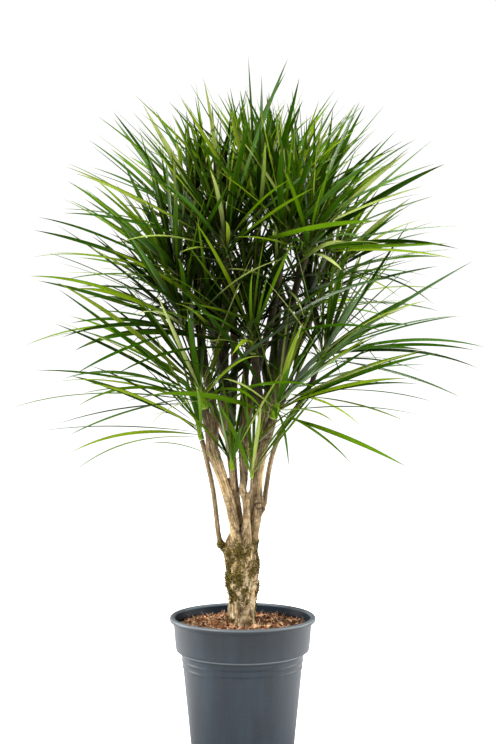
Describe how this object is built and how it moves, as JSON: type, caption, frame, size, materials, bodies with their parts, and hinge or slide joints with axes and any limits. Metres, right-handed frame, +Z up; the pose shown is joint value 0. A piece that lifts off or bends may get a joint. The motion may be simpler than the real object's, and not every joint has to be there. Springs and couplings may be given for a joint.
{
  "type": "potted dracaena",
  "caption": "Branched dragon tree with a fluted trunk, thin bare stems and rosettes of long narrow arching leaves, in a round plastic nursery pot of bark soil.",
  "frame": {"origin": "centre of the pot's base, on the plane that the pot stands on", "axes": "+Z up along the pot's axis and the trunk, -Y towards the tree's front, +X to the right seen from the front"},
  "size_m": [0.7741, 0.7187, 1.1496],
  "materials": {
    "pot_plastic": "slate-grey injection-moulded plastic, satin, slightly paler on the rolled rim",
    "bark_soil": "dry red-brown coir and bark chips with pale fibres",
    "stem_bark": "dry greyish-tan bark with ring scars, pale lichen and olive moss low on the trunk",
    "leaf_blade": "smooth leathery leaf, deep to yellow-green with a thin dark red margin, satin sheen"
  },
  "bodies": {
    "root": {"pot": "pot_plastic", "soil": "bark_soil", "trunk_and_branches": "stem_bark", "leaves_left_front": "leaf_blade", "leaves_left_low": "leaf_blade", "leaves_left_side": "leaf_blade", "leaves_left_high": "leaf_blade", "leaves_centre_left": "leaf_blade", "leaves_front_shoot": "leaf_blade", "leaves_middle_left": "leaf_blade", "leaves_centre": "leaf_blade", "leaves_centre_right": "leaf_blade", "leaves_young_shoot": "leaf_blade", "leaves_right_front": "leaf_blade", "leaves_middle_front": "leaf_blade", "leaves_right_low": "leaf_blade", "leaves_right_high": "leaf_blade", "leaves_right_shoot": "leaf_blade", "leaves_right_top": "leaf_blade", "leaves_right_side": "leaf_blade", "leaves_back_right": "leaf_blade", "leaves_back_right_low": "leaf_blade", "leaves_back_right_side": "leaf_blade", "leaves_back_middle": "leaf_blade", "leaves_back_left": "leaf_blade", "leaves_back_left_low": "leaf_blade", "leaves_back_left_side": "leaf_blade", "leaves_left_top": "leaf_blade"}
  },
  "joints": []
}
